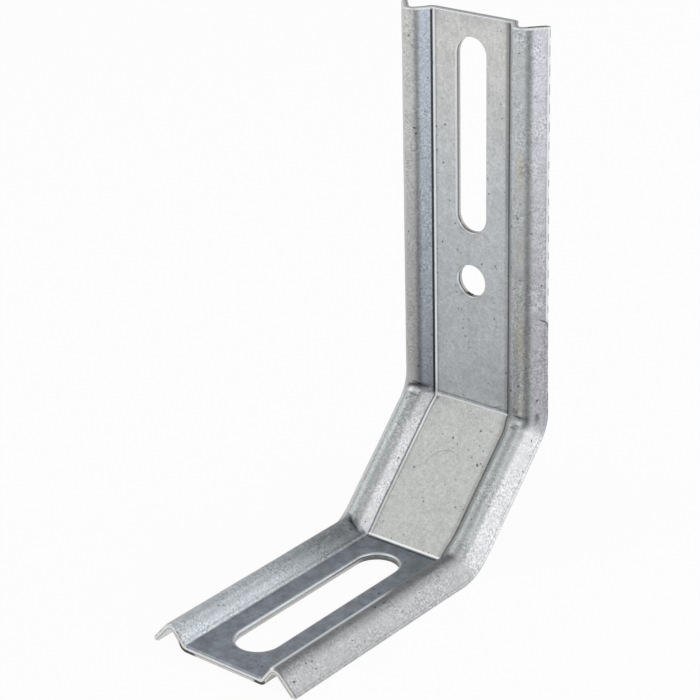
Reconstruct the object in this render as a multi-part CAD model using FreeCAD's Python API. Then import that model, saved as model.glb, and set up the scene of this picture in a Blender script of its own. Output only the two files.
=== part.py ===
import FreeCAD, Part
import os
from math import cos, radians, sin, tan

# Angle bracket: one strip of galvanised steel, pressed with a ridge along each
# side and folded twice at 45 degrees, so that a short diagonal joins the upright
# to the lower leg.
# Millimetres. X runs across the strip, -Y along the lower leg, +Z up the upright.
# The origin is the centre of the round hole, on the back plane of the upright.

# Overall sizes
HEIGHT = 128.3          # underside of the lower leg to the top end
REACH = 95.3            # back of the upright to the end of the lower leg
WIDTH = 42.6            # across both outer flanges
THICKNESS = 1.8         # of the sheet, in the flat web
RIDGE_THICKNESS = 1.5   # where the press has stretched it

# Pressed section
WEB_WIDTH = 22.0        # flat web between the two creases
RISE_ANGLE = 52.0       # of the ridge's inner slope, from the web
FLANGE_ANGLE = 49.0     # of the outer flange, from the web
CREST_RADIUS = 2.4      # outside of the ridge's crest
CREASE_RADIUS = 1.7     # front side of the hollow between web and ridge
FLANGE_DROP = 1.4       # outer corner of the flange, behind the web's front face

# Folds
BRACE_ANGLE = 45.0      # of the diagonal, from the upright
BRACE_HEIGHT = 27.8     # where the diagonal leaves the upright, above the lower leg's web
CREST_FOLD_RADIUS = 1.1     # inside the fold at the ridges' crests, so they fold without pinching

# Openings, all on the centre line
UPPER_SLOT_WIDTH = 8.5
UPPER_SLOT_LENGTH = 48.0
UPPER_SLOT_MARGIN = 5.5     # from the top end to the slot
HOLE_DIAMETER = 8.0
HOLE_SPACING = 12.5         # from the upper slot's lower end to the hole's centre
LOWER_SLOT_WIDTH = 11.0
LOWER_SLOT_MARGIN = 7.0     # from the lower leg's end to the slot
LOWER_SLOT_SETBACK = 5.2    # from the lower fold line to the slot's other end
RIM_RADIUS = 0.4        # rounding that the punch leaves on the front rims

ACROSS = FreeCAD.Vector(1, 0, 0)
OUT = FreeCAD.Vector(0, -1, 0)
UP = FreeCAD.Vector(0, 0, 1)

# The origin sits in the hole, so the rest is placed from there
TOP = HOLE_SPACING + UPPER_SLOT_LENGTH + UPPER_SLOT_MARGIN
UNDERSIDE = TOP - HEIGHT
# Where the fronts of diagonal and lower leg would meet, from the back of the upright
LOWER_FOLD_LINE = THICKNESS + BRACE_HEIGHT * tan(radians(BRACE_ANGLE))


def meet(p, angle_p, q, angle_q):
    """Where two lines cross, each given by a point and its angle in degrees."""
    px, py = cos(radians(angle_p)), sin(radians(angle_p))
    qx, qy = cos(radians(angle_q)), sin(radians(angle_q))
    along = ((q[0] - p[0]) * qy - (q[1] - p[1]) * qx) / (px * qy - py * qx)
    return (p[0] + along * px, p[1] + along * py)


def half_section():
    """Corners of the right half, each with the radius of its rounding.

    The first number runs across from the centre line, the second in front of
    the web's front face. The list starts and ends on the centre line.
    """
    crease = (WEB_WIDTH / 2 + CREASE_RADIUS * tan(radians(RISE_ANGLE / 2)), 0.0)
    corner = (WIDTH / 2, -FLANGE_DROP)
    crest = meet(crease, RISE_ANGLE, corner, -FLANGE_ANGLE)
    # the same lines on the back of the sheet
    slope_back = (crease[0] + RIDGE_THICKNESS * sin(radians(RISE_ANGLE)),
                  crease[1] - RIDGE_THICKNESS * cos(radians(RISE_ANGLE)))
    flange_back = (corner[0] - RIDGE_THICKNESS * sin(radians(FLANGE_ANGLE)),
                   corner[1] - RIDGE_THICKNESS * cos(radians(FLANGE_ANGLE)))
    back = (0.0, -THICKNESS)
    crease_back = meet(slope_back, RISE_ANGLE, back, 0.0)
    crest_back = meet(slope_back, RISE_ANGLE, flange_back, -FLANGE_ANGLE)
    # the flange's sheared edge is square to the sheet, and its toe is pressed flush with the back
    toe_outer = meet(corner, 90.0 - FLANGE_ANGLE, back, 0.0)
    toe_inner = meet(flange_back, -FLANGE_ANGLE, back, 0.0)
    return [
        ((0.0, 0.0), 0.0),
        (crease, CREASE_RADIUS),
        (crest, CREST_RADIUS),
        (corner, 0.0),
        (toe_outer, 0.0),
        (toe_inner, 0.0),
        (crest_back, CREST_RADIUS - RIDGE_THICKNESS),
        (crease_back, CREASE_RADIUS + RIDGE_THICKNESS),
        (back, 0.0),
    ]


def crest_height():
    """How far the crest stands in front of the web, at its highest point."""
    crest, radius = half_section()[2]
    half_turn = radians((RISE_ANGLE + FLANGE_ANGLE) / 2)
    lean = radians((RISE_ANGLE - FLANGE_ANGLE) / 2)
    return crest[1] - radius * (cos(lean) / cos(half_turn) - 1)


def place(point, origin):
    """A section point in space, on the level cut through the upright."""
    return origin + ACROSS * point[0] + OUT * point[1]


def rounded_wire(corners, origin):
    """Closed outline through the corners, with an arc wherever a radius is given."""
    edges = []
    ends = []
    count = len(corners)
    for i in range(count):
        here = place(corners[i][0], origin)
        radius = corners[i][1]
        if radius <= 0:
            ends.append((here, here))
            continue
        before = (place(corners[i - 1][0], origin) - here).normalize()
        after = (place(corners[(i + 1) % count][0], origin) - here).normalize()
        half = before.getAngle(after) / 2
        reach = radius / tan(half)
        start = here + before * reach
        finish = here + after * reach
        middle = here + (before + after).normalize() * (radius / sin(half) - radius)
        edges.append(Part.Arc(start, middle, finish).toShape())
        ends.append((start, finish))
    for i in range(count):
        start = ends[i][1]
        finish = ends[(i + 1) % count][0]
        if start.distanceToPoint(finish) > 1e-6:
            edges.append(Part.makeLine(start, finish))
    return Part.Wire(Part.__sortEdges__(edges))


def section_face(origin):
    right = half_section()
    left = [((-point[0], point[1]), radius) for point, radius in reversed(right)]
    # the two points on the centre line are not corners of the whole section
    outline = right[1:-1] + left[1:-1]
    return Part.Face(rounded_wire(outline, origin))


def folded_strip():
    """The section carried down the upright, around both folds and along the lower leg."""
    upper_fold = BRACE_ANGLE
    lower_fold = 90.0 - BRACE_ANGLE
    fold_radius = crest_height() + CREST_FOLD_RADIUS
    upper_tangent = fold_radius * tan(radians(upper_fold / 2))
    lower_tangent = fold_radius * tan(radians(lower_fold / 2))
    upright = HEIGHT - THICKNESS - BRACE_HEIGHT - upper_tangent
    diagonal = BRACE_HEIGHT / cos(radians(BRACE_ANGLE)) - upper_tangent - lower_tangent
    lower_leg = REACH - LOWER_FOLD_LINE - lower_tangent

    point = OUT * THICKNESS + UP * TOP
    face = section_face(point)
    front = OUT
    heading = UP * -1
    pieces = []
    for length, fold in ((upright, upper_fold), (diagonal, lower_fold), (lower_leg, 0.0)):
        pieces.append(face.extrude(heading * length))
        face = face.translated(heading * length)
        point = point + heading * length
        if fold > 0:
            centre = point + front * fold_radius
            pieces.append(face.revolve(centre, ACROSS * -1, fold))
            face = face.rotated(centre, ACROSS * -1, fold)
            turn = FreeCAD.Rotation(ACROSS * -1, fold)
            point = centre + turn.multVec(point - centre)
            front = turn.multVec(front)
            heading = turn.multVec(heading)
    return pieces[0].fuse(pieces[1:]).removeSplitter()


def slot_cutter(centre, along, through, length, width):
    """A slot with round ends, long enough to pass right through the sheet."""
    half = (length - width) / 2
    side = along.cross(through)
    radius = width / 2
    depth = THICKNESS * 3
    base = centre - through * (depth / 2)
    a = base + along * half + side * radius
    b = base + along * half - side * radius
    c = base - along * half - side * radius
    d = base - along * half + side * radius
    edges = [
        Part.Arc(a, base + along * (half + radius), b).toShape(),
        Part.makeLine(b, c),
        Part.Arc(c, base - along * (half + radius), d).toShape(),
        Part.makeLine(d, a),
    ]
    return Part.Face(Part.Wire(edges)).extrude(through * depth)


def front_rim(solid, cutter, point, normal):
    """Edges that an opening leaves on the front face of its web."""
    box = cutter.BoundBox
    box.enlarge(0.01)
    found = []
    for edge in solid.Edges:
        flat = all(abs((v.Point - point).dot(normal)) < 1e-4 for v in edge.Vertexes)
        if flat and box.isInside(edge.BoundBox):
            found.append(edge)
    return found


def bracket():
    upright_front = OUT * THICKNESS
    leg_front = UP * (UNDERSIDE + THICKNESS)
    hole = Part.makeCylinder(HOLE_DIAMETER / 2, THICKNESS * 3, OUT * -THICKNESS, OUT)
    upper_slot_height = TOP - UPPER_SLOT_MARGIN - UPPER_SLOT_LENGTH / 2
    lower_slot_near = LOWER_FOLD_LINE + LOWER_SLOT_SETBACK
    lower_slot_far = REACH - LOWER_SLOT_MARGIN
    upper_slot = slot_cutter(OUT * (THICKNESS / 2) + UP * upper_slot_height,
                             UP, OUT, UPPER_SLOT_LENGTH, UPPER_SLOT_WIDTH)
    lower_slot_middle = (lower_slot_near + lower_slot_far) / 2
    lower_slot = slot_cutter(UP * (UNDERSIDE + THICKNESS / 2) + OUT * lower_slot_middle,
                             OUT, UP, lower_slot_far - lower_slot_near, LOWER_SLOT_WIDTH)
    solid = folded_strip().cut([hole, upper_slot, lower_slot])
    rims = front_rim(solid, hole, upright_front, OUT)
    rims += front_rim(solid, upper_slot, upright_front, OUT)
    rims += front_rim(solid, lower_slot, leg_front, UP)
    return solid.makeFillet(RIM_RADIUS, rims).Solids[0]


os.makedirs("parts", exist_ok=True)
bracket().exportStep("parts/angle_bracket.step")
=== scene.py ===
from math import ceil, cos, hypot, pi, radians, sin, sqrt, tan

import bmesh
import bpy
from mathutils import Matrix, Vector, geometry, noise

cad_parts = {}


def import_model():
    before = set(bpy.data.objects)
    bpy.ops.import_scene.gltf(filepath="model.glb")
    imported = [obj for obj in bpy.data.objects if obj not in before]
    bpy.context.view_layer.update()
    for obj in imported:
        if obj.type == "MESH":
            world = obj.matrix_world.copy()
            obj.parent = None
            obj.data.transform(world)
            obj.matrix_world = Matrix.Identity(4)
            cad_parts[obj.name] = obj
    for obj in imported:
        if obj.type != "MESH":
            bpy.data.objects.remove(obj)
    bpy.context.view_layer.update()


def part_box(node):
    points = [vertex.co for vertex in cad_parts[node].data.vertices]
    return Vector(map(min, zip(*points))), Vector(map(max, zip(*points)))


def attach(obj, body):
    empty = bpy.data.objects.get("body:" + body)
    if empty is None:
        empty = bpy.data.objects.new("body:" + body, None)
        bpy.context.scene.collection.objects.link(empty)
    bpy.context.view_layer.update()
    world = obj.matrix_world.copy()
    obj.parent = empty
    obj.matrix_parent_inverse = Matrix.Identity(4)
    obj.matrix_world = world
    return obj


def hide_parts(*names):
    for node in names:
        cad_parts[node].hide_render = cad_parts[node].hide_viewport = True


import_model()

# Angle bracket of galvanised sheet: a detailed skin over the frame's plain solid, its zinc
# finish, and a pale studio. The skin is worked out in millimetres and stored in metres.

MM = 0.001
NODE = "angle_bracket"

# Sizes of the sheet
LOW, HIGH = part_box(NODE)
WIDTH = (HIGH[0] - LOW[0]) / MM
TOP = HIGH[2] / MM
UNDERSIDE = LOW[2] / MM
END = -LOW[1] / MM              # reach of the lower leg from the back of the upright
THICKNESS = 1.8
RIDGE_THICKNESS = 1.5           # where the press has stretched the sheet
THINNING = 2.0                  # distance past the crease over which it gets thinner
WEB_WIDTH = 22.0                # flat web between the creases
WEB_EDGE = WEB_WIDTH / 2
RISE_ANGLE = radians(52.0)      # of the ridge's inner slope
FLANGE_ANGLE = radians(49.0)    # of the falling outer flange
CREST_RADIUS = 2.6
CREASE_RADIUS = 0.45
FLANGE_DROP = 1.4               # sheared corner of the flange, behind the web's front
EDGE_RADIUS = 0.45              # rolled over by the shear, on the front side only
BRACE_HEIGHT = 27.8             # where the diagonal leaves the upright, above the lower web
FOLD = radians(45.0)            # turn of each fold
RIM = 0.45                      # rounding of the front rims and of the sheared ends

# Walls of the openings
FLARE = 0.10                    # how much wider an opening is at the back
BURNISHED = 0.5                 # smooth share of the wall, the rest is torn
TEAR = (0.7, 0.15)              # share of the flare that is reached at once, over this depth

# Fold radii of the fibres, at the web, at the crest and at the flange's edge
WEB_FOLD = 1.0
CREST_FOLD = 2.2
EDGE_FOLD = (10.0, 15.0)        # upper fold, lower fold
CREST_REACH = 5.4               # from the crease to the crest, across
EDGE_REACH = 5.6                # from the crest to where the folds are widest, at the flange's edge

# The path down the strip at the web: upright, fold, diagonal, fold, lower leg
FOLD_LENGTH = 0.8
STRETCHES = (TOP - UNDERSIDE - THICKNESS - BRACE_HEIGHT, FOLD_LENGTH, BRACE_HEIGHT / cos(FOLD),
             FOLD_LENGTH, END - THICKNESS - BRACE_HEIGHT * tan(FOLD))
TOTAL = sum(STRETCHES)
UPPER_FOLD = STRETCHES[0] + FOLD_LENGTH / 2
LOWER_FOLD = UPPER_FOLD + STRETCHES[2] + FOLD_LENGTH

# What the folding did to the strip
SPREAD = (0.2, 0.8)             # how much wider the diagonal's creases lie, left and right
SPREAD_START = 4.0              # length over which that begins below the upper fold
SPREAD_END = 8.0                # and over which it ends above the lower one
SPREAD_FADE = 9.0               # distance over the ridge at which it is gone
CREST_SIDE = 16.0               # where the right flange starts, across
# How the right flange's edge leans out: distance along the strip, and how far out
LEAN = ((0, 0.0), (30, 0.1), (90, 0.6), (103, 0.9), (136, 0.9), (150, 0.7), (210, 0.5))
UNEVEN = 0.05                   # height of the waves that the press leaves in the ridges
WAVES = (0.12, 0.09, 3.0)       # their rate across and along, and which waves they are

# Sampling
ROW = 0.8                       # spacing of the rows along the legs
FOLD_ROWS = 14
WEB_COLUMNS = 14
RIM_ROWS = (0, 0.15, 0.35, 0.65)    # extra rows at both ends, in shares of the rounding
RIM_STEPS = 4
RING = 40                       # points on each round end of an opening
CREASE_STEPS = 5
RISE_STEPS = 8
CREST_STEPS = 16
FLANGE_STEPS = 12
CORNER_STEPS = 6
SHEARED_STEPS = 3
TINY = 1e-6                     # slack in comparing distances
MERGE = 1e-7                    # points of the web's outlines closer than this are one
SHORT = 0.02                    # by which a triangle in an opening may lie short of its outline
WELD = 0.004                    # points closer than this become one
SHARP = radians(32)             # edges that turn more than this are drawn sharp

FRONT, EDGE, BACK = 0, 1, 2     # parts of the skin
ZINC, CUT = 0, 1                # its materials


class Opening:
    """A round hole, or a slot with round ends, on the centre line of a leg's web."""

    def __init__(self, centre, length, width, rim):
        self.centre = centre                # along the leg
        self.half = (length - width) / 2    # from there to the middle of a round end
        self.radius = width / 2
        self.rim = rim                      # how wide the front rim's rounding is


HOLE_DIAMETER = 8.0
HOLE_SPACING = 12.5             # from the hole's centre to the upper slot
UPPER_SLOT_LENGTH = 48.0
UPPER_SLOT_WIDTH = 8.5
LOWER_SLOT_LENGTH = 53.5
LOWER_SLOT_WIDTH = 11.0
LOWER_SLOT_RIM = 0.95           # its punch has drawn the rim in more widely
LOWER_SLOT_MARGIN = 7.0         # from the lower leg's end
ROUND_HOLE = Opening(0.0, HOLE_DIAMETER, HOLE_DIAMETER, RIM)
UPPER_SLOT = Opening(HOLE_SPACING + UPPER_SLOT_LENGTH / 2, UPPER_SLOT_LENGTH, UPPER_SLOT_WIDTH, RIM)
LOWER_SLOT = Opening(END - LOWER_SLOT_MARGIN - LOWER_SLOT_LENGTH / 2, LOWER_SLOT_LENGTH,
                     LOWER_SLOT_WIDTH, LOWER_SLOT_RIM)


def meet(p, angle_p, q, angle_q):
    """Where two lines cross, each given by a point and its angle."""
    px, py, qx, qy = cos(angle_p), sin(angle_p), cos(angle_q), sin(angle_q)
    along = ((q[0] - p[0]) * qy - (q[1] - p[1]) * qx) / (px * qy - py * qx)
    return (p[0] + along * px, p[1] + along * py)


def smooth(value):
    value = min(max(value, 0.0), 1.0)
    return value * value * (3 - 2 * value)


def hill(distance, width):
    """A bump of height 1 at distance 0, with no slope at its foot."""
    return smooth(1 - abs(distance) / width)


# The section: samples of the front face of the right side, from the web outwards

def arc(centre, radius, start, finish, steps):
    """Points on an arc, each with its outward normal's angle."""
    points = []
    for i in range(steps + 1):
        angle = start + (finish - start) * i / steps
        points.append((centre[0] + radius * cos(angle), centre[1] + radius * sin(angle), angle))
    return points


def between(start, finish, steps):
    """Points strictly between two others, with the normal of the straight run."""
    points = []
    for i in range(1, steps):
        part = i / steps
        points.append((start[0] + (finish[0] - start[0]) * part,
                       start[1] + (finish[1] - start[1]) * part, start[2]))
    return points


def front_profile():
    """(across, in front, normal angle) from the crease outwards, and the flange's rolled corner."""
    reach = CREASE_RADIUS * tan(RISE_ANGLE / 2)
    crease = (WEB_EDGE + reach, 0.0)
    corner = (WIDTH / 2, -FLANGE_DROP)
    crest = meet(crease, RISE_ANGLE, corner, -FLANGE_ANGLE)
    profile = []
    # the crease is hollow, so its normals point at its centre
    centre = (crease[0] - reach, CREASE_RADIUS)
    for i in range(CREASE_STEPS + 1):
        turn = RISE_ANGLE * i / CREASE_STEPS
        profile.append((centre[0] + CREASE_RADIUS * sin(turn), centre[1] - CREASE_RADIUS * cos(turn),
                        pi / 2 + turn))
    # the crest is a full round
    half_turn = (RISE_ANGLE + FLANGE_ANGLE) / 2
    down = radians(270) + (RISE_ANGLE - FLANGE_ANGLE) / 2
    centre = (crest[0] + CREST_RADIUS / cos(half_turn) * cos(down),
              crest[1] + CREST_RADIUS / cos(half_turn) * sin(down))
    outward = pi / 2 - FLANGE_ANGLE
    round_crest = arc(centre, CREST_RADIUS, pi / 2 + RISE_ANGLE, outward, CREST_STEPS)
    profile += between(profile[-1], round_crest[0], RISE_STEPS)
    profile += round_crest
    # the rolled corner of the sheared edge
    centre = (corner[0] - EDGE_RADIUS * (cos(FLANGE_ANGLE) + cos(outward)),
              corner[1] + EDGE_RADIUS * (sin(FLANGE_ANGLE) - sin(outward)))
    rolled = arc(centre, EDGE_RADIUS, outward, outward - pi / 2, CORNER_STEPS)
    profile += between(profile[-1], rolled[0], FLANGE_STEPS)
    return profile, rolled


def section_outline():
    """The right side's closed outline: (across, in front, normal angle, skin, over the surface)."""
    profile, rolled = front_profile()
    front = profile + rolled
    outline = []
    over = front[0][0]
    for i, (x, h, normal) in enumerate(front):
        if i > 0:
            over += hypot(x - front[i - 1][0], h - front[i - 1][1])
        outline.append((x, h, normal, FRONT, over))
    corner = outline[-1]
    fall = (corner[1] + THICKNESS) / cos(FLANGE_ANGLE)
    for i in range(1, SHEARED_STEPS + 1):
        part = fall * i / SHEARED_STEPS
        outline.append((corner[0] - part * sin(FLANGE_ANGLE), corner[1] - part * cos(FLANGE_ANGLE),
                        -FLANGE_ANGLE, EDGE, over))
    back = []
    for x, h, normal, skin, over in outline[:len(profile)]:
        gauge = THICKNESS + (RIDGE_THICKNESS - THICKNESS) * smooth((over - WEB_EDGE) / THINNING)
        deep = (x - gauge * cos(normal), h - gauge * sin(normal), normal, BACK, over)
        if deep[1] >= -THICKNESS - TINY:
            back.append(deep)
    last = back[-1]
    toe = (last[1] + THICKNESS) / tan(FLANGE_ANGLE)
    back.append((last[0] + toe, -THICKNESS, last[2], BACK, last[4]))
    return outline + back[::-1]


def rollover(distance):
    """How far a sheared border has fallen back at a distance from it."""
    if distance >= RIM:
        return 0.0
    return RIM - sqrt(RIM * RIM - (RIM - distance) ** 2)


# The path: each fibre of the section runs down the upright, round two folds and out along the leg

def heading_front(turn):
    """The direction in front of the web (y, z), after so much turning."""
    return (-cos(turn), sin(turn))


def corner_of(height, which):
    """Where a fibre in front of the web would turn, if it turned sharply."""
    if which == 0:
        origin = (-THICKNESS, UNDERSIDE + THICKNESS + BRACE_HEIGHT)
    else:
        origin = (-THICKNESS - BRACE_HEIGHT * tan(FOLD), UNDERSIDE + THICKNESS)
    y, z = heading_front(FOLD * (which + 0.5))
    out = height / cos(FOLD / 2)
    return (origin[0] + y * out, origin[1] + z * out)


def fold_radius(across, which, tilt, is_back):
    """How widely a fibre turns: tight at the web, wide at the flange's edge."""
    past = across - WEB_EDGE
    if past < CREST_REACH:
        radius = WEB_FOLD + (CREST_FOLD - WEB_FOLD) * smooth(past / CREST_REACH)
    else:
        radius = CREST_FOLD + (EDGE_FOLD[which] - CREST_FOLD) * smooth((past - CREST_REACH) / EDGE_REACH)
    if is_back:
        radius += RIDGE_THICKNESS * sin(tilt)
    return radius


def web_radii(is_back):
    return [WEB_FOLD + (THICKNESS if is_back else 0.0)] * 2


def row_parts():
    """Sampling of the path: for each row the stretch it is on and its part of that stretch."""
    rows = [(0, RIM * part / STRETCHES[0]) for part in RIM_ROWS]
    for stretch, length in enumerate(STRETCHES):
        is_fold = stretch in (1, 3)
        start = RIM if stretch == 0 else 0.0
        finish = length - RIM if stretch == 4 else length
        count = FOLD_ROWS if is_fold else ceil((finish - start) / ROW)
        for i in range(0 if stretch == 0 else 1, count + 1):
            rows.append((stretch, (start + (finish - start) * i / count) / length))
    rows += [(4, 1 - RIM * part / STRETCHES[4]) for part in RIM_ROWS[::-1]]
    return rows


def path_length(row):
    stretch, part = row
    return sum(STRETCHES[:stretch]) + STRETCHES[stretch] * part


def along_path(height, radii, row):
    """A fibre's place and turning on one row: (y, z, turn)."""
    stretch, part = row
    corners = (corner_of(height, 0), corner_of(height, 1))
    reach = (radii[0] * tan(FOLD / 2), radii[1] * tan(FOLD / 2))
    if stretch == 0:
        finish = corners[0][1] + reach[0]
        return (corners[0][0], TOP + (finish - TOP) * part, 0.0)
    if stretch == 4:
        start = corners[1][0] - reach[1]
        return (start + (-END - start) * part, corners[1][1], 2 * FOLD)
    if stretch == 2:
        start = (corners[0][0] - reach[0] * sin(FOLD), corners[0][1] - reach[0] * cos(FOLD))
        finish = (corners[1][0] + reach[1] * sin(FOLD), corners[1][1] + reach[1] * cos(FOLD))
        return (start[0] + (finish[0] - start[0]) * part, start[1] + (finish[1] - start[1]) * part, FOLD)
    which = 0 if stretch == 1 else 1
    base = FOLD * which
    out = heading_front(base)
    down = (-sin(base), -cos(base))
    centre = (corners[which][0] - down[0] * reach[which] + out[0] * radii[which],
              corners[which][1] - down[1] * reach[which] + out[1] * radii[which])
    turn = base + FOLD * part
    toward = heading_front(turn)
    return (centre[0] - toward[0] * radii[which], centre[1] - toward[1] * radii[which], turn)


def spread(x, along):
    """How much wider the creases lie on the diagonal, where the strip was stretched in folding."""
    start = STRETCHES[0] + STRETCHES[1]
    finish = start + STRETCHES[2]
    amount = SPREAD[1 if x > 0 else 0]
    middle = smooth((along - start) / SPREAD_START) * smooth((finish - along) / SPREAD_END)
    past = abs(x) - WEB_EDGE
    fade = 1 + past / WEB_EDGE if past < 0 else 1 - smooth(past / SPREAD_FADE)
    return amount * middle * fade


def lean(x, along):
    """How much further out a point of the right flange lies, pushed out by the folding."""
    share = (x - CREST_SIDE) / (WIDTH / 2 - CREST_SIDE)
    for (start, low), (finish, high) in zip(LEAN, LEAN[1:]):
        if along <= finish:
            return max(share, 0.0) * (low + (high - low) * (along - start) / (finish - start))
    return 0.0


def place_on(x, height, radii, row, normal=pi / 2, push=0.0):
    """A point of the skin, pushed out by so much along its normal."""
    y, z, turn = along_path(height, radii, row)
    front = heading_front(turn)
    side = 1 if x >= 0 else -1
    out = push * sin(normal)
    along = path_length(row)
    wide = x + side * push * cos(normal) + side * spread(x, along) + lean(x, along)
    return (wide, y + front[0] * out, z + front[1] * out)


# The skin: points and faces collected in millimetres, with what the materials need to know

class Skin:
    """The mesh while it grows, with each point's place on the strip."""

    def __init__(self):
        self.points = []
        self.depth = []         # 0 on the front face, 1 on the back
        self.across = []        # from the centre line, over the section
        self.along = []         # from the upper end, over the path
        self.faces = []
        self.finish = []        # material of each face

    def point(self, place, depth, across, along):
        self.points.append(place)
        self.depth.append(depth)
        self.across.append(across)
        self.along.append(along)
        return len(self.points) - 1

    def face(self, corners, finish=ZINC):
        self.faces.append(corners)
        self.finish.append(finish)

    def quads(self, grid, finish=ZINC, closed=False):
        """Faces between neighbouring rows of a grid of points."""
        for upper, lower in zip(grid, grid[1:]):
            count = len(upper)
            for i in range(count if closed else count - 1):
                j = (i + 1) % count
                self.face((upper[i], upper[j], lower[j], lower[i]), finish)

    def build(self, name):
        mesh = bpy.data.meshes.new(name)
        mesh.from_pydata([tuple(c * MM for c in p) for p in self.points], [], self.faces)
        for title, values in (("depth", self.depth), ("across", self.across), ("along", self.along)):
            layer = mesh.attributes.new(title, "FLOAT", "POINT")
            layer.data.foreach_set("value", values)
        mesh.polygons.foreach_set("material_index", self.finish)
        return mesh


# Puckers: side, over the surface, along, slant, half width across, half width along, depth
PUCKERS = (
    (-1, 17.0, 98.2, 0.10, 6.5, 0.9, -0.75),
    (-1, 17.5, 100.0, 0.10, 4.0, 1.2, 0.30),
    (-1, 22.5, 98.0, 0.0, 3.0, 1.3, -0.45),
    (1, 18.2, 98.3, 0.15, 3.0, 0.7, -0.50),
    (1, 18.4, 99.9, -0.30, 3.0, 0.8, -0.40),
    (1, 18.0, 101.2, 0.20, 2.6, 0.8, 0.20),
    (1, 21.5, 100.0, 0.0, 4.0, 3.0, 0.20),
    (-1, 15.8, 139.5, -0.30, 5.2, 0.9, -0.70),
    (-1, 15.5, 141.7, -0.30, 3.6, 1.4, 0.22),
    (1, 14.8, 139.2, 0.30, 3.4, 1.0, -0.30),
    (1, 23.0, 52.0, 0.0, 2.2, 1.8, -0.18),
)


def marks(side, over, along):
    """Puckers, dents and waves of the ridges, out from the surface; the waves set in past the crease."""
    push = 0.0
    for where, centre, place, slant, wide, long, depth in PUCKERS:
        if where == side:
            across = over - centre
            push += depth * hill(across, wide) * hill(along - place - slant * across, long)
    wave = noise.noise(Vector((side * over * WAVES[0], along * WAVES[1], WAVES[2])))
    return push + UNEVEN * wave * smooth((over - WEB_EDGE) / THINNING)


def side_strip(skin, side, rows):
    """One ridge with its flange, as a tube that is open along the web."""
    outline = section_outline()
    kinds = [entry[3] for entry in outline]
    corner = outline[kinds.count(FRONT) - 1][1]
    grid = []
    for row in rows:
        along = path_length(row)
        line = []
        for x, h, normal, kind, over in outline:
            radii = [fold_radius(x, which, normal, kind == BACK) for which in (0, 1)]
            push = marks(side, over, along)
            if kind == FRONT:
                push -= rollover(min(along, TOTAL - along))
            place = place_on(side * x, h, radii, row, normal, push)
            depth = {FRONT: 0.0, EDGE: (corner - h) / (corner + THICKNESS), BACK: 1.0}[kind]
            line.append(skin.point(place, depth, side * over, along))
        grid.append(line)
    for upper, lower in zip(grid, grid[1:]):
        for i in range(len(outline) - 1):
            finish = CUT if EDGE in (kinds[i], kinds[i + 1]) else ZINC
            skin.face((upper[i], upper[i + 1], lower[i + 1], lower[i]), finish)
    # both ends: quads between front and back, and one face at the toe
    fronts = kinds.count(FRONT) + kinds.count(EDGE)
    shared = kinds.count(BACK) - 1
    for line in (grid[0], grid[-1]):
        deep = line[fronts:][::-1]
        for i in range(shared - 1):
            skin.face((line[i], line[i + 1], deep[i + 1], deep[i]), CUT)
        skin.face([line[i] for i in range(shared - 1, fronts)] + [deep[-1], deep[-2]], CUT)


def web_columns():
    """Places across the web, between the two creases."""
    return [WEB_EDGE * (2 * i / WEB_COLUMNS - 1) for i in range(WEB_COLUMNS + 1)]


def web_line(skin, row, depth, push):
    """One row of points across the web, on the front at depth 0 or on the back at 1."""
    along = path_length(row)
    places = [place_on(x, -THICKNESS * depth, web_radii(depth), row, push=push) for x in web_columns()]
    return [skin.point(place, float(depth), x, along) for place, x in zip(places, web_columns())]


def web_grid(skin, rows):
    """The web as plain rows, on both faces."""
    for depth in (0, 1):
        grid = []
        for row in rows:
            along = path_length(row)
            push = 0.0 if depth else -rollover(min(along, TOTAL - along))
            grid.append(web_line(skin, row, depth, push))
        skin.quads(grid)


def web_ends(skin, rows):
    """The sheared ends of the web."""
    for row in (rows[0], rows[-1]):
        skin.quads([web_line(skin, row, 0, -RIM), web_line(skin, row, 1, 0.0)], CUT)


def opening_loop(opening, grow):
    """Outline of an opening, grown by so much: (across, along the leg)."""
    radius = opening.radius + grow
    loop = []
    for end in (1, -1):
        for i in range(RING + 1):
            angle = pi * i / RING + (0 if end > 0 else pi)
            if opening.half == 0 and i == RING:
                continue
            loop.append((radius * cos(angle), opening.centre + end * opening.half + radius * sin(angle)))
    return loop


def inside(place, opening, grow):
    """Whether a triangle's middle lies in the opening."""
    off = max(abs(place.y - opening.centre) - opening.half, 0.0)
    return hypot(place.x, off) < opening.radius + grow - SHORT


def leg_place(leg, x, reach, depth):
    """A point on a leg's web; reach is its height on the upright, or its distance from the wall."""
    if leg == 0:
        return (x, -THICKNESS * (1 - depth), reach)
    return (x, -reach, UNDERSIDE + THICKNESS * (1 - depth))


def leg_along(leg, reach, depth):
    """The path's length at a point on a leg's web, as its rows count it."""
    radii = web_radii(depth > 0.5)
    if leg == 0:
        bend = along_path(-THICKNESS * depth, radii, (0, 1.0))[1]
        return STRETCHES[0] * (TOP - reach) / (TOP - bend)
    bend = -along_path(-THICKNESS * depth, radii, (4, 0.0))[0]
    return TOTAL - STRETCHES[4] * (END - reach) / (END - bend)


def web_border(leg, rows, depth):
    """The outline of a leg's web between its rows: (across, along the leg)."""
    reaches = []
    for row in rows:
        y, z = along_path(-THICKNESS * depth, web_radii(depth), row)[:2]
        reaches.append(z if leg == 0 else -y)
    columns = web_columns()
    border = [(x, reaches[0]) for x in columns]
    border += [(columns[-1], reach) for reach in reaches[1:]]
    border += [(x, reaches[-1]) for x in columns[-2::-1]]
    border += [(columns[0], reach) for reach in reaches[-2:0:-1]]
    return border


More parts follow.
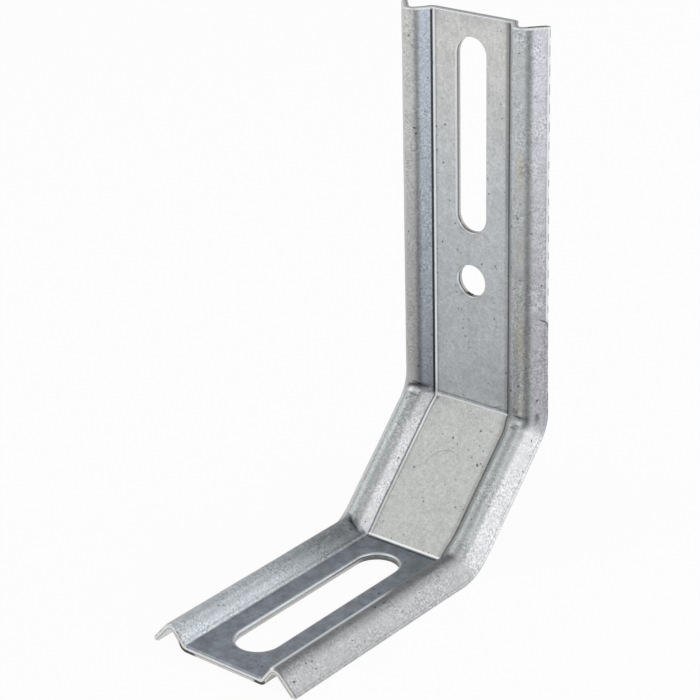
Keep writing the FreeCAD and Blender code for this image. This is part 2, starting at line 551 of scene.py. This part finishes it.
def pierced_web(skin, leg, rows, openings):
    """A leg's web with its openings, on both faces, and the walls of the openings."""
    for depth in (0, 1):
        grown = [(opening, FLARE if depth else opening.rim) for opening in openings]
        flat = []
        edges = []
        for loop in [web_border(leg, rows, depth)] + [opening_loop(*entry) for entry in grown]:
            first = len(flat)
            flat += loop
            edges += [(first + i, first + (i + 1) % len(loop)) for i in range(len(loop))]
        result = geometry.delaunay_2d_cdt([Vector(p) for p in flat], edges, [], 1, MERGE)
        places, triangles = result[0], result[2]
        ids = [skin.point(leg_place(leg, v.x, v.y, depth), float(depth), v.x, leg_along(leg, v.y, depth))
               for v in places]
        for triangle in triangles:
            middle = sum((places[i] for i in triangle), Vector((0, 0))) / 3
            if not any(inside(middle, *entry) for entry in grown):
                skin.face([ids[i] for i in triangle])
    for opening in openings:
        opening_wall(skin, leg, opening)


def opening_wall(skin, leg, opening):
    """The rounded front rim, the burnished wall and the torn half that flares a little."""
    turns = [pi / 2 * i / RIM_STEPS for i in range(RIM_STEPS + 1)]
    rings = [(opening.rim * (1 - sin(turn)), RIM * (1 - cos(turn))) for turn in turns]
    torn = THICKNESS * BURNISHED
    walls = [(0.0, torn), (FLARE * TEAR[0], torn + TEAR[1]), (FLARE, THICKNESS)]
    lines = []
    for grow, deep in rings + walls:
        depth = deep / THICKNESS
        lines.append([skin.point(leg_place(leg, x, reach, depth), depth, x, leg_along(leg, reach, 0))
                      for x, reach in opening_loop(opening, grow)])
    skin.quads(lines[:RIM_STEPS + 1], ZINC, closed=True)
    skin.quads(lines[RIM_STEPS:], CUT, closed=True)


def bracket():
    """The whole skin: two ridges, the web between them, its openings and its ends."""
    skin = Skin()
    rows = row_parts()
    for side in (-1, 1):
        side_strip(skin, side, rows)
    upright = [row for row in rows if row[0] == 0]
    bends = [row for row in rows if row[0] in (1, 2, 3)]
    lower = [row for row in rows if row[0] == 4]
    at_top = [row for row in upright if path_length(row) <= RIM + TINY]
    at_end = [row for row in lower if TOTAL - path_length(row) <= RIM + TINY]
    web_grid(skin, at_top)
    pierced_web(skin, 0, upright[len(at_top) - 1:], (UPPER_SLOT, ROUND_HOLE))
    web_grid(skin, [upright[-1]] + bends)
    pierced_web(skin, 1, [bends[-1]] + lower[:len(lower) - len(at_end) + 1], (LOWER_SLOT,))
    web_grid(skin, at_end)
    web_ends(skin, rows)
    return skin.build("galvanised_skin")


def solid_object(mesh, name):
    """Welds the parts of the skin and sets its shading."""
    bm = bmesh.new()
    bm.from_mesh(mesh)
    bmesh.ops.remove_doubles(bm, verts=bm.verts, dist=WELD * MM)
    bmesh.ops.recalc_face_normals(bm, faces=bm.faces)
    bm.to_mesh(mesh)
    bm.free()
    mesh.shade_smooth()
    mesh.set_sharp_from_angle(angle=SHARP)
    piece = bpy.data.objects.new(name, mesh)
    bpy.context.scene.collection.objects.link(piece)
    return piece


# Materials

class Graph:
    """A material's nodes, with short calls for the few kinds used here."""

    def __init__(self, name, metallic, roughness):
        self.material = bpy.data.materials.new(name)
        self.material.use_nodes = True
        self.nodes = self.material.node_tree.nodes
        self.nodes.clear()
        self.output = self.nodes.new("ShaderNodeOutputMaterial")
        self.surface = self.nodes.new("ShaderNodeBsdfPrincipled")
        self.surface.inputs["Metallic"].default_value = metallic
        self.surface.inputs["Roughness"].default_value = roughness
        self.link(self.surface.outputs[0], self.output.inputs[0])

    def link(self, source, target):
        self.material.node_tree.links.new(source, target)

    def put(self, value, target):
        """A number or colour goes on the socket itself, and anything else is linked to it."""
        if isinstance(value, (int, float, tuple)):
            target.default_value = value
        else:
            self.link(value, target)

    def math(self, kind, *values):
        node = self.nodes.new("ShaderNodeMath")
        node.operation = kind
        for value, target in zip(values, node.inputs):
            self.put(value, target)
        return node.outputs[0]

    def fold_up(self, kind, values):
        """One operation over all the values, from the first to the last."""
        result = values[0]
        for value in values[1:]:
            result = self.math(kind, result, value)
        return result

    def product(self, *values):
        return self.fold_up("MULTIPLY", values)

    def greatest(self, *values):
        return self.fold_up("MAXIMUM", values)

    def less(self, value):
        """What is left of 1."""
        return self.math("SUBTRACT", 1.0, value)

    def attribute(self, name):
        node = self.nodes.new("ShaderNodeAttribute")
        node.attribute_name = name
        return node.outputs["Fac"]

    def step(self, value, low, high):
        """0 below low, 1 above high, smooth between them; the other way round if low is the higher."""
        node = self.nodes.new("ShaderNodeMapRange")
        node.interpolation_type = "SMOOTHSTEP"
        self.put(value, node.inputs[0])
        node.inputs[1].default_value = low
        node.inputs[2].default_value = high
        return node.outputs[0]

    def hump(self, value, centre, half):
        """1 at the centre, falling to 0 at half the width."""
        off = self.math("ABSOLUTE", self.math("SUBTRACT", value, centre))
        return self.less(self.step(off, 0.0, half))

    def stripe(self, value, centre, half):
        """1 over nearly half of the width, with soft sides."""
        off = self.math("ABSOLUTE", self.math("SUBTRACT", value, centre))
        return self.less(self.step(off, half * 0.45, half))

    def grain(self, size, detail=2.0, stretch=(1, 1, 1), rough=0.5):
        """Noise with features of about the size, in millimetres."""
        place = self.nodes.new("ShaderNodeTexCoord").outputs["Object"]
        scaled = self.nodes.new("ShaderNodeMapping")
        scaled.inputs["Scale"].default_value = tuple(1 / (MM * size * s) for s in stretch)
        self.link(place, scaled.inputs[0])
        node = self.nodes.new("ShaderNodeTexNoise")
        node.inputs["Scale"].default_value = 1.0
        node.inputs["Detail"].default_value = detail
        node.inputs["Roughness"].default_value = rough
        self.link(scaled.outputs[0], node.inputs["Vector"])
        return node.outputs["Fac"]

    def cells(self, size, ragged=0.0):
        """Cells of about the size: distance to the nearest centre, in cells, and each cell's number."""
        place = self.nodes.new("ShaderNodeTexCoord").outputs["Object"]
        if ragged > 0:
            wander = self.nodes.new("ShaderNodeTexNoise")
            wander.inputs["Scale"].default_value = 1 / (MM * WANDER)
            self.link(place, wander.inputs["Vector"])
            shift = self.nodes.new("ShaderNodeVectorMath")
            shift.operation = "MULTIPLY_ADD"
            self.link(wander.outputs["Color"], shift.inputs[0])
            shift.inputs[1].default_value = (ragged * MM,) * 3
            self.link(place, shift.inputs[2])
            place = shift.outputs[0]
        node = self.nodes.new("ShaderNodeTexVoronoi")
        node.inputs["Scale"].default_value = 1 / (MM * size)
        self.link(place, node.inputs["Vector"])
        split = self.nodes.new("ShaderNodeSeparateColor")
        self.link(node.outputs["Color"], split.inputs[0])
        return node.outputs["Distance"], split.outputs[0]

    def blend(self, part, first, second):
        node = self.nodes.new("ShaderNodeMix")
        node.data_type = "RGBA"
        self.put(part, node.inputs[0])
        self.put(first, node.inputs[6])
        self.put(second, node.inputs[7])
        return node.outputs[2]

    def scale(self, colour, factor):
        node = self.nodes.new("ShaderNodeVectorMath")
        node.operation = "SCALE"
        self.put(colour, node.inputs[0])
        self.put(factor, node.inputs["Scale"])
        return node.outputs[0]

    def bump(self, height, distance, below=None):
        node = self.nodes.new("ShaderNodeBump")
        node.inputs["Strength"].default_value = 1.0
        node.inputs["Distance"].default_value = distance * MM
        self.link(height, node.inputs["Height"])
        if below is not None:
            self.link(below, node.inputs["Normal"])
        return node.outputs[0]


# Colours of the zinc, and of the bare steel. GREY is the zinc's own and YELLOWED a real streak. PALE is
# for painted highlights. The other zinc colours are painted light: the tones that the legs and facets
# take from the lamps and from their reflections
GREY = (0.555, 0.575, 0.588, 1.0)
BRIGHT = (0.70, 0.705, 0.715, 1.0)
BLUE = (0.54, 0.60, 0.672, 1.0)
STEEL_BLUE = (0.60, 0.635, 0.66, 1.0)
SHADE_GREY = (0.585, 0.61, 0.605, 1.0)
SANDY = (0.583, 0.583, 0.573, 1.0)
LAVENDER = (0.655, 0.655, 0.705, 1.0)
WARM = (0.475, 0.48, 0.465, 1.0)
SLATE = (0.33, 0.36, 0.395, 1.0)
PALE = (0.95, 0.96, 0.97, 1.0)
YELLOWED = (0.60, 0.575, 0.50, 1.0)
SMOOTH_STEEL = (0.70, 0.70, 0.70, 1.0)
TORN_STEEL = (0.62, 0.612, 0.595, 1.0)
TORN_END = (0.74, 0.72, 0.68, 1.0)

# Marks of the zinc, in millimetres over the surface and along the strip
WANDER = 0.7                    # size of the ragged turns in a pit's outline
SCRATCH = (0.6, UPPER_FOLD + 18.4, 5.25)    # centre and radius of the arc on the diagonal
DASHES = (25.38, 4.65)          # place of the scraped dashes, over the surface, and their spacing
NICK = 74.0                     # where the painted highlight on the right border's rolled corner ends, along the strip

# Pinched marks, mostly painted: dark ones are painted shade in the puckers and bright ones painted
# highlights on them, with a few real pits, cracks, nicks and a scratch among the dark ones.
# Columns: side, over the surface, along, slant, half width across, half width along, change; those below
# 0 are dark, those above 0 bright
CREASES = (
    (-1, 16.5, 98.35, 0.20, 7.0, 0.65, -0.78),
    (-1, 14.0, 98.1, 0.40, 2.0, 0.75, -0.45),
    (-1, 16.8, 99.20, 0.04, 3.4, 0.50, 1.0),
    (-1, 15.9, 100.15, -0.27, 2.6, 0.42, -0.50),
    (-1, 15.9, 139.5, -0.30, 5.4, 0.60, -0.88),
    (-1, 18.0, 138.3, 0.0, 4.0, 0.50, 0.35),
    (-1, 14.2, 142.3, 0.0, 0.55, 0.50, -0.60),
    (-1, 15.6, 168.0, -0.90, 1.3, 0.35, -0.40),
    (-1, 10.0, 98.9, 0.0, 1.3, 0.70, 0.90),
    (-1, 10.0, 99.95, 0.0, 0.5, 0.35, -0.70),
    (-1, 2.4, 97.15, -0.33, 0.9, 0.30, -0.60),
    (-1, 4.1, 59.0, -0.80, 0.6, 0.34, -0.55),
    (-1, 2.9, 59.6, -0.50, 0.5, 0.26, -0.40),
    (1, 21.4, 141.8, 0.60, 1.0, 0.60, -0.30),
    (1, 8.0, 97.6, -0.35, 2.4, 0.24, -0.60),
    (1, 18.3, 98.6, 0.15, 1.9, 0.30, -0.90),
    (1, 18.6, 97.6, 0.0, 0.9, 0.80, 0.45),
    (1, 18.5, 99.3, 0.10, 1.6, 0.38, 0.85),
    (1, 18.4, 99.9, -0.30, 1.8, 0.26, -0.45),
    (1, 20.2, 98.9, 0.0, 1.2, 0.60, -0.45),
    (1, 22.6, 98.8, 0.0, 1.0, 0.38, -0.55),
    (1, 24.2, 74.0, 0.65, 1.8, 0.34, -0.85),
    (1, 25.0, 75.1, 2.0, 0.9, 0.60, -0.60),
)


class Strip(Graph):
    """The zinc's nodes, with the parts of the strip, and its colour and shade so far; the shade holds
    painted shade and light besides the real grain, pits and scratch.
    """

    def __init__(self):
        super().__init__("zinc", 1.0, 0.4)
        self.across, self.along, self.depth = (self.attribute(n) for n in ("across", "along", "depth"))
        off = self.math("ABSOLUTE", self.across)
        self.on_web = self.less(self.step(off, WEB_EDGE - 0.1, WEB_EDGE + 0.1))
        self.on_ridge = self.less(self.on_web)
        self.on_upright = self.less(self.step(self.along, UPPER_FOLD - 0.6, UPPER_FOLD + 0.6))
        self.on_lower = self.step(self.along, LOWER_FOLD - 0.6, LOWER_FOLD + 0.6)
        self.on_diagonal = self.math("SUBTRACT", self.less(self.on_upright), self.on_lower)
        self.on_front = self.less(self.step(self.depth, 0.3, 0.6))
        self.colour = GREY
        self.shade = 1.0

    def tint(self, colour, *parts):
        """Blends a colour in, where all the parts meet."""
        self.colour = self.blend(self.product(*parts), self.colour, colour)

    def darken(self, change, *parts):
        """Changes the shade by so much where all the parts meet: darker below 0, lighter above."""
        part = self.product(*parts)
        self.shade = self.math("MULTIPLY", self.shade, self.math("MULTIPLY_ADD", part, change, 1.0))


def painted_facet_tones(zinc):
    """Tones of the web, the ridges and the flanges, mostly painted light: each leg and facet gets the
    tone that the lamps and its reflections give it, slate on the lower web, bluish on the left inner
    slope, lavender on the right flange. The web is also warmer towards the upper end, and the right
    ridge has a real yellowed streak.
    """
    # painted light: the lower and diagonal webs and the ridges below the upright in their lit tones, and
    # a bluish painted reflection on the left inner slope
    zinc.tint(SLATE, zinc.on_web, zinc.on_lower)
    zinc.tint(WARM, zinc.on_web, zinc.on_diagonal)
    zinc.tint(BRIGHT, zinc.on_ridge, zinc.less(zinc.on_upright))
    zinc.tint(BLUE, zinc.hump(zinc.across, -12.9, 2.8), zinc.on_upright)
    # painted reflection tones on the outer flanges and on the lower leg's left ridge
    # from where to where, over the surface
    bands = (
        (20.6, 21.9, zinc.on_upright, LAVENDER),
        (-15.0, -16.2, zinc.on_diagonal, SHADE_GREY),
        (-15.4, -16.4, zinc.on_upright, SANDY),
        (-WEB_EDGE, -WEB_EDGE - 0.5, zinc.on_lower, STEEL_BLUE),
    )
    zinc.tint(SANDY, zinc.step(zinc.along, 45.0, 5.0), zinc.on_web)
    for low, high, where, colour in bands:
        zinc.tint(colour, zinc.step(zinc.across, low, high), where)
    patchy = zinc.step(zinc.grain(4.0, 3.0, stretch=(1, 1, 4)), 0.45, 0.7)
    zinc.tint(YELLOWED, zinc.hump(zinc.across, 18.3, 1.7), zinc.on_upright, patchy)


def painted_broad_shade(zinc):
    """Painted shade and light along the strip: the upright darker towards its fold, its ridges more so,
    and its web lighter just above the fold.
    """
    fade = zinc.product(zinc.step(zinc.along, 0.0, UPPER_FOLD), zinc.on_upright)
    zinc.shade = zinc.math("MULTIPLY_ADD", fade, -0.30, 1.10)
    zinc.darken(-0.10, fade, zinc.on_ridge)
    zinc.darken(0.16, zinc.hump(zinc.along, UPPER_FOLD - 1.5, 3.0), zinc.on_web)
    # painted shade: below the upright, the right ridge is darker up to its flange, and greyer on the
    # diagonal
    right_ridge_shade = zinc.product(zinc.step(zinc.across, WEB_EDGE + 0.2, WEB_EDGE + 0.5),
                        zinc.step(zinc.across, 21.0, 19.2))
    zinc.darken(-0.14, right_ridge_shade, zinc.on_diagonal)
    zinc.darken(-0.32, right_ridge_shade, zinc.on_lower)
    zinc.tint(SHADE_GREY, right_ridge_shade, zinc.on_diagonal)
    # painted shade: the left ridge is darker where it comes out of the lower fold
    out_of_fold = zinc.less(zinc.step(zinc.along, LOWER_FOLD, LOWER_FOLD + 42))
    zinc.darken(-0.45, out_of_fold, zinc.step(zinc.across, -WEB_EDGE, -WEB_EDGE - 1.0), zinc.on_lower)
    # painted shade on the lower leg's right ridge
    zinc.darken(-0.35, zinc.step(zinc.across, WEB_EDGE, WEB_EDGE + 0.5), zinc.on_lower)


def painted_shade_lines(zinc):
    """Painted shade: dark lines along the creases and crests, dark bands on the ridges, and dark lines
    beside the folds.
    """
    near_top = zinc.step(zinc.along, 60.0, 40.0)
    near_slot = zinc.product(zinc.hump(zinc.along, 163.0, 7.0), zinc.on_lower)
    on_bends = zinc.less(zinc.product(zinc.on_lower, 0.85))
    # over the surface, half width, change, where
    lines = (
        (-WEB_EDGE + 0.95, 0.30, -0.32, zinc.on_upright),
        (-WEB_EDGE - 0.05, 0.38, -0.62, zinc.on_diagonal),
        (WEB_EDGE + 0.10, 0.50, -0.80, on_bends),
        (WEB_EDGE - 0.55, 0.90, -0.24, on_bends),
        (16.6, 0.6, -0.80, near_slot),
        (-WEB_EDGE + 0.95, 0.30, -0.35, zinc.on_diagonal),
        (-15.0, 1.1, -0.46, zinc.on_upright),
        (-14.9, 1.5, -0.42, zinc.on_diagonal),
        (20.2, 1.1, -0.26, zinc.on_diagonal),
        (-14.6, 1.6, -0.24, zinc.on_lower),
        (-12.0, 0.5, -0.22, zinc.on_lower),
        (20.2, 1.4, -0.46, zinc.on_upright),
        (WEB_EDGE - 0.45, 0.95, -0.30, near_top),
        (24.4, 0.25, -0.2, zinc.on_front),
    )
    for centre, half, change, where in lines:
        zinc.darken(change, zinc.hump(zinc.across, centre, half), zinc.on_front, where)
    crease = zinc.stripe(zinc.across, -WEB_EDGE - 0.28, 0.42)
    zinc.darken(-0.88, crease, zinc.on_upright, zinc.on_front)
    # along the strip, half width, change
    for place, half, change in ((UPPER_FOLD - 1.1, 0.40, -0.40), (LOWER_FOLD + 0.60, 0.55, -0.72)):
        zinc.darken(change, zinc.hump(zinc.along, place, half), zinc.on_web, zinc.on_front)


def pinch_shade_and_marks(zinc):
    """Darkens with painted shade where the ridges were pinched, and with real nicks, pits, cracks and a
    scratch; the painted highlights are returned.
    """
    bright = []
    for side, over, place, slant, wide, long, change in CREASES:
        shift = zinc.math("MULTIPLY_ADD", zinc.across, -side * slant, over * slant)
        mark = zinc.product(zinc.hump(zinc.math("ADD", zinc.along, shift), place, long),
                            zinc.hump(zinc.across, side * over, wide))
        if change > 0:
            bright.append((mark, zinc.on_front, change))
        else:
            zinc.darken(change, mark, zinc.on_front)
    return bright


def spangle(zinc, mottle):
    """Spangle, mottling, rolling streaks and fine grain, rougher on the ridges."""
    speckle = zinc.step(zinc.grain(0.5, 2.5, rough=0.65), 0.38, 0.62)
    fine = zinc.step(zinc.grain(1.1, 3.0, rough=0.7), 0.3, 0.7)
    patchy = zinc.step(zinc.grain(6.0, 2.0), 0.35, 0.65)
    worn = zinc.math("MULTIPLY_ADD", zinc.product(zinc.on_ridge, patchy), 0.32, 0.15)
    specks = zinc.math("ADD", zinc.product(speckle, worn), zinc.math("MULTIPLY_ADD", worn, -0.5, 1.0))
    zinc.shade = zinc.product(zinc.shade, specks)
    streak = zinc.grain(1.2, 2.0, stretch=(1, 1, 14))
    flake = zinc.cells(2.2)[1]
    for value, amount in ((mottle, 0.40), (fine, 0.14), (streak, 0.16), (flake, 0.07)):
        level = zinc.math("MULTIPLY_ADD", value, amount, 1 - amount / 2)
        zinc.shade = zinc.product(zinc.shade, level)


def pitting(zinc):
    """Small dark pits, in a few of the cells and in clusters."""
    kinds = []
    # spacing, radius in cells, share of the cells that stay plain
    for size, radius, share in ((1.9, 0.19, 0.74), (1.15, 0.20, 0.84), (3.4, 0.14, 0.66)):
        far, pick = zinc.cells(size, 0.85)
        kinds.append(zinc.product(zinc.less(zinc.step(far, radius * 0.4, radius)),
                                  zinc.step(pick, share, share + 0.02)))
    clusters = zinc.math("MULTIPLY_ADD", zinc.step(zinc.grain(9.0), 0.42, 0.56), 0.6, 0.4)
    pits = zinc.product(zinc.greatest(*kinds), clusters)
    zinc.darken(-0.72, pits)
    return pits


def film_and_scratch(zinc):
    """A clouded film on the lower leg's web, and an arc-shaped scratch on the diagonal's."""
    cloud = zinc.step(zinc.grain(3.2, 4.0, rough=0.65), 0.34, 0.66)
    cloud = zinc.math("MULTIPLY_ADD", cloud, 0.30, -0.15)
    zinc.darken(1.0, zinc.on_lower, zinc.on_web, cloud)
    aside = zinc.math("SUBTRACT", zinc.across, SCRATCH[0])
    below = zinc.math("SUBTRACT", zinc.along, SCRATCH[1])
    squares = zinc.math("ADD", zinc.product(aside, aside), zinc.product(below, below))
    line = zinc.hump(zinc.math("SQRT", squares), SCRATCH[2], 0.20)
    quarter = zinc.product(zinc.step(aside, 1.5, 0.2), zinc.step(below, 0.8, -0.4))
    zinc.darken(-0.35, line, quarter, zinc.on_web)


def scraped_border(zinc):
    """Dashes on the upright's right border, longer near the top; returns where its rolled corner gets a
    painted highlight.
    """
    wave = zinc.math("SINE", zinc.product(zinc.along, 2 * pi / DASHES[1]))
    longer = zinc.product(zinc.step(zinc.along, 40.0, 5.0), 0.6)
    level = zinc.math("ADD", zinc.math("ADD", wave, longer), zinc.grain(6.0))
    dash = zinc.product(zinc.stripe(zinc.across, DASHES[0], 0.52), zinc.step(level, 0.62, 0.85),
                        zinc.on_upright)
    zinc.darken(-0.6, dash)
    return zinc.product(zinc.stripe(zinc.across, 25.0, 0.60), zinc.step(zinc.along, NICK + 1, NICK - 1),
                        zinc.less(dash))


def highlights(zinc, rolled, bright):
    """Painted highlights: creases, folds, rims, the upper end, the lower leg's ridges, the right
    border's rolled corner and the pinched ridges.
    """
    fading = zinc.math("MULTIPLY_ADD", zinc.step(zinc.along, UPPER_FOLD, LOWER_FOLD - 8), -0.75, 1.0)
    past_slot = zinc.product(zinc.step(zinc.along, 158.0, 167.0), zinc.on_lower)
    far_down = zinc.product(zinc.step(zinc.along, 165.0, 200.0), zinc.on_lower)
    # line, where, strength
    lines = (
        (zinc.stripe(zinc.across, -WEB_EDGE + 0.34, 0.36), zinc.on_upright, 0.9),
        (zinc.stripe(zinc.across, -WEB_EDGE + 0.42, 0.34), zinc.product(zinc.on_diagonal, fading), 0.65),
        (zinc.stripe(zinc.across, 16.3, 0.9), past_slot, 1.0),
        (zinc.hump(zinc.across, -17.5, 2.2), far_down, 0.35),
        (zinc.hump(zinc.along, 0.1, 0.6), zinc.on_web, 0.55),
        (zinc.hump(zinc.along, UPPER_FOLD - 0.12, 0.42), zinc.on_web, 1.0),
        (zinc.hump(zinc.along, LOWER_FOLD - 0.35, 0.46), zinc.on_web, 0.9),
        (zinc.hump(zinc.along, 0.1, 0.6), zinc.on_ridge, 1.0),
        (rolled, zinc.on_upright, 0.75),
        (zinc.step(zinc.depth, 0.006, 0.06), zinc.on_web, 0.75),
    )
    for line, where, strength in lines + tuple(bright):
        zinc.tint(PALE, line, where, zinc.on_front, strength)


def galvanised():
    """The zinc: satin grey, spangled and pitted, with real marks of press, folds and handling, and with
    painted shade, painted reflections and painted highlights on its legs, creases and folds.
    """
    zinc = Strip()
    painted_facet_tones(zinc)
    painted_broad_shade(zinc)
    painted_shade_lines(zinc)
    bright = pinch_shade_and_marks(zinc)
    mottle = zinc.grain(5.0, 4.0, rough=0.6)
    spangle(zinc, mottle)
    pits = pitting(zinc)
    film_and_scratch(zinc)
    # where the right border's rolled corner gets a painted highlight
    rolled = scraped_border(zinc)
    zinc.colour = zinc.scale(zinc.colour, zinc.shade)
    highlights(zinc, rolled, bright)
    zinc.link(zinc.colour, zinc.surface.inputs["Base Color"])
    rough = zinc.math("MULTIPLY_ADD", mottle, 0.20, 0.28)
    rough = zinc.math("MULTIPLY_ADD", zinc.on_ridge, 0.10, rough)
    zinc.link(rough, zinc.surface.inputs["Roughness"])
    relief = zinc.bump(zinc.grain(9.0, 2.0), 0.12)
    relief = zinc.bump(zinc.grain(0.8, 3.0, rough=0.6), 0.07, relief)
    relief = zinc.bump(zinc.less(pits), 0.03, relief)
    zinc.link(relief, zinc.surface.inputs["Normal"])
    return zinc.material


def sheared_steel():
    """Cut walls and ends: burnished towards the front, torn behind, with dark cracks."""
    graph = Graph("sheared_steel", 1.0, 0.5)
    across, along, depth = (graph.attribute(name) for name in ("across", "along", "depth"))
    at_end = graph.step(along, TOTAL - 1.0, TOTAL - 0.6)
    in_opening = graph.product(graph.step(graph.math("ABSOLUTE", across), 8.0, 7.0),
                               graph.step(along, 1.0, 2.0), graph.less(at_end))
    grain = graph.grain(0.5, 4.0, rough=0.7)
    drawn = graph.grain(0.35, 2.0)
    # the torn half starts along a wavy border
    border = graph.math("MULTIPLY_ADD", graph.grain(1.6, 3.0), 0.25, 0.38)
    past = graph.math("SUBTRACT", depth, border)
    torn = graph.step(past, -0.01, 0.03)
    corners = graph.greatest(graph.stripe(across, -10.3, 2.8), graph.stripe(across, 10.5, 1.5))
    # the line on the openings' walls fades towards the end of the lower leg
    wall_line = graph.math("MULTIPLY_ADD", graph.step(along, 150.0, 170.0), -0.55, 1.0)
    slot_end = graph.product(graph.step(along, 152.0, 147.0), graph.step(along, 130.0, 131.0))
    crack = graph.greatest(
        graph.hump(past, 0.02, 0.09),
        graph.product(corners, at_end, torn),
        graph.product(graph.stripe(depth, 0.36, 0.15), wall_line, in_opening),
        graph.product(slot_end, torn, in_opening, 0.8),
        # a dark spot at the bottom of the round hole
        graph.product(graph.stripe(across, -1.1, 1.2), graph.stripe(along, 70.2, 0.8)),
        # the right flange's upper end
        graph.product(graph.step(along, 0.7, 0.4), graph.step(across, 19.5, 20.5), 0.85))
    colour = graph.blend(torn, SMOOTH_STEEL, graph.blend(at_end, TORN_STEEL, TORN_END))
    shade = graph.product(graph.math("MULTIPLY_ADD", grain, 0.5, 0.75),
                          graph.math("MULTIPLY_ADD", drawn, 0.3, 0.85),
                          graph.math("MULTIPLY_ADD", crack, -0.85, 1.0))
    graph.link(graph.scale(colour, shade), graph.surface.inputs["Base Color"])
    graph.link(graph.math("MULTIPLY_ADD", torn, 0.3, 0.32), graph.surface.inputs["Roughness"])
    graph.link(graph.bump(graph.product(grain, torn), 0.12), graph.surface.inputs["Normal"])
    return graph.material


piece = solid_object(bracket(), "bracket_skin")
piece.data.materials.append(galvanised())
piece.data.materials.append(sheared_steel())
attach(piece, "root")
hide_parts(NODE)
print("triangles", sum(len(p.vertices) - 2 for p in piece.data.polygons))


# The studio

CAMERA_PLACE = (297.2, -406.3, 202.4)
CAMERA_YAW = radians(39.68)     # of the view, from +Y towards -X
CAMERA_PITCH = radians(23.67)   # downwards
CAMERA_ROLL = radians(-1.42)
CAMERA_LENS = 115.3
AIM = (0, -30, -10)             # where the lamps point
# Lamps: name, place, width and height, power in watts
LAMPS = (
    ("key", (-700, -500, 850), (1000, 1000), 2.2),
    ("side", (1050, -80, 600), (800, 1200), 3.2),
    ("rear", (600, 850, 620), (1000, 700), 2.4),
)
FLOOR_REACH = 12000             # from the middle of the paper to each side
FLOOR_GAP = 0.2                 # between the paper and the bracket's underside
PAPER = (0.85, 0.85, 0.85, 1)
PAPER_GLOW = 0.94               # share of plain white in what the paper shows
SKY = (0.96, 0.98, 1.0, 1)
SKY_STRENGTH = 0.52


def camera():
    data = bpy.data.cameras.new("camera")
    data.sensor_width = 36
    data.lens = CAMERA_LENS
    data.clip_start = 0.01
    data.clip_end = 20
    look = Vector((-sin(CAMERA_YAW) * cos(CAMERA_PITCH), cos(CAMERA_YAW) * cos(CAMERA_PITCH),
                   -sin(CAMERA_PITCH)))
    right = Vector((cos(CAMERA_YAW), sin(CAMERA_YAW), 0))
    up = right.cross(look)
    tilted_right = right * cos(CAMERA_ROLL) + up * sin(CAMERA_ROLL)
    tilted_up = up * cos(CAMERA_ROLL) - right * sin(CAMERA_ROLL)
    turn = Matrix((tilted_right, tilted_up, -look)).transposed().to_4x4()
    seen = bpy.data.objects.new("camera", data)
    seen.matrix_world = Matrix.Translation(Vector(CAMERA_PLACE) * MM) @ turn
    bpy.context.scene.collection.objects.link(seen)
    bpy.context.scene.camera = seen


def softbox(name, place, size, power):
    data = bpy.data.lights.new(name, "AREA")
    data.shape = "RECTANGLE"
    data.size = size[0] * MM
    data.size_y = size[1] * MM
    data.energy = power
    lamp = bpy.data.objects.new(name, data)
    lamp.location = Vector(place) * MM
    lamp.rotation_euler = (Vector(AIM) - Vector(place)).to_track_quat("-Z", "Y").to_euler()
    bpy.context.scene.collection.objects.link(lamp)


def floor():
    bm = bmesh.new()
    bmesh.ops.create_grid(bm, x_segments=1, y_segments=1, size=FLOOR_REACH * MM)
    mesh = bpy.data.meshes.new("floor")
    bm.to_mesh(mesh)
    bm.free()
    plane = bpy.data.objects.new("floor", mesh)
    plane.location.z = (UNDERSIDE - FLOOR_GAP) * MM
    mesh.materials.append(white_paper())
    bpy.context.scene.collection.objects.link(plane)


def white_paper():
    """Matt white, shown near white to the camera and in reflections, with its shadows kept."""
    graph = Graph("paper", 0.0, 0.8)
    graph.surface.inputs["Base Color"].default_value = PAPER
    path = graph.nodes.new("ShaderNodeLightPath")
    seen = graph.greatest(path.outputs["Is Camera Ray"], path.outputs["Is Glossy Ray"],
                          path.outputs["Is Transmission Ray"])
    glow = graph.nodes.new("ShaderNodeEmission")
    glow.inputs["Strength"].default_value = 1.0
    blend = graph.nodes.new("ShaderNodeMixShader")
    graph.link(graph.product(seen, PAPER_GLOW), blend.inputs[0])
    graph.link(graph.surface.outputs[0], blend.inputs[1])
    graph.link(glow.outputs[0], blend.inputs[2])
    graph.link(blend.outputs[0], graph.output.inputs[0])
    return graph.material


def world():
    room = bpy.data.worlds.new("studio")
    bpy.context.scene.world = room
    room.use_nodes = True
    background = room.node_tree.nodes["Background"]
    background.inputs[0].default_value = SKY
    background.inputs[1].default_value = SKY_STRENGTH


camera()
floor()
world()
for lamp in LAMPS:
    softbox(*lamp)
bpy.context.scene.view_settings.view_transform = "Standard"
